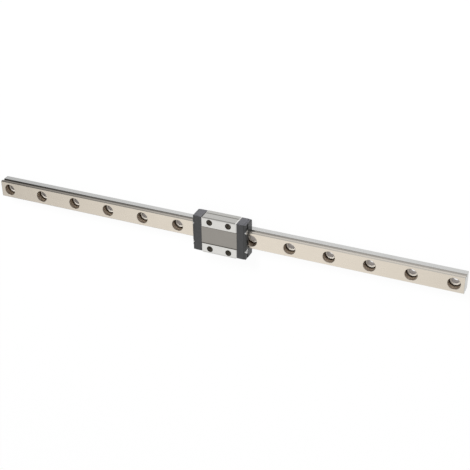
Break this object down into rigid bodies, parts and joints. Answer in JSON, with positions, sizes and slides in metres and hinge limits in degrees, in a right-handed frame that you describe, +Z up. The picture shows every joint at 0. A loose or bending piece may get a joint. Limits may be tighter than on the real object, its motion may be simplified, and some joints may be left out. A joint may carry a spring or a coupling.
{
  "type": "miniature linear guide",
  "caption": "Slim steel guide rail with counterbored screw holes and a low ball carriage that slides along it.",
  "frame": {"origin": "middle of the rail's base, on the surface that the rail stands on", "axes": "+X along the rail, +Y across it, +Z up out of the face with the screw heads; the carriage stands 4.4 mm towards +X at rest"},
  "size_m": [0.25, 0.02, 0.01],
  "materials": {
    "rail_steel": "ground hardened steel, slightly warm",
    "block_steel": "ground hardened steel, bright strips and a duller recessed band",
    "cap_plastic": "black moulded engineering plastic, satin",
    "seal_rubber": "black nitrile rubber, matt",
    "guide_plastic": "natural moulded plastic",
    "screw_steel": "bright stainless steel",
    "wire_steel": "drawn stainless spring wire",
    "ball_steel": "polished bearing steel"
  },
  "bodies": {
    "rail": {"rail": "rail_steel"},
    "carriage": {"carriage_block": "block_steel", "end_cap_left": "cap_plastic", "end_cap_right": "cap_plastic", "end_screw_left_back": "screw_steel", "end_screw_left_front": "screw_steel", "end_screw_right_back": "screw_steel", "end_screw_right_front": "screw_steel", "end_seal_left": "seal_rubber", "end_seal_right": "seal_rubber", "load_ball_back_01": "ball_steel", "load_ball_back_02": "ball_steel", "load_ball_back_03": "ball_steel", "load_ball_back_04": "ball_steel", "load_ball_back_05": "ball_steel", "load_ball_back_06": "ball_steel", "load_ball_back_07": "ball_steel", "load_ball_back_08": "ball_steel", "load_ball_back_09": "ball_steel", "load_ball_back_10": "ball_steel", "load_ball_back_11": "ball_steel", "load_ball_back_12": "ball_steel", "load_ball_front_01": "ball_steel", "load_ball_front_02": "ball_steel", "load_ball_front_03": "ball_steel", "load_ball_front_04": "ball_steel", "load_ball_front_05": "ball_steel", "load_ball_front_06": "ball_steel", "load_ball_front_07": "ball_steel", "load_ball_front_08": "ball_steel", "load_ball_front_09": "ball_steel", "load_ball_front_10": "ball_steel", "load_ball_front_11": "ball_steel", "load_ball_front_12": "ball_steel", "retainer_wire_back": "wire_steel", "retainer_wire_front": "wire_steel", "return_balls_back": "ball_steel", "return_balls_front": "ball_steel", "return_guide_left_back": "guide_plastic", "return_guide_left_front": "guide_plastic", "return_guide_right_back": "guide_plastic", "return_guide_right_front": "guide_plastic", "turn_balls_left_back": "ball_steel", "turn_balls_left_front": "ball_steel", "turn_balls_right_back": "ball_steel", "turn_balls_right_front": "ball_steel"}
  },
  "joints": [
    {"name": "carriage_slide", "type": "slide", "parent": "rail", "child": "carriage", "axis": [1, 0, 0], "range_m": [-0.1144, 0.1056]}
  ]
}
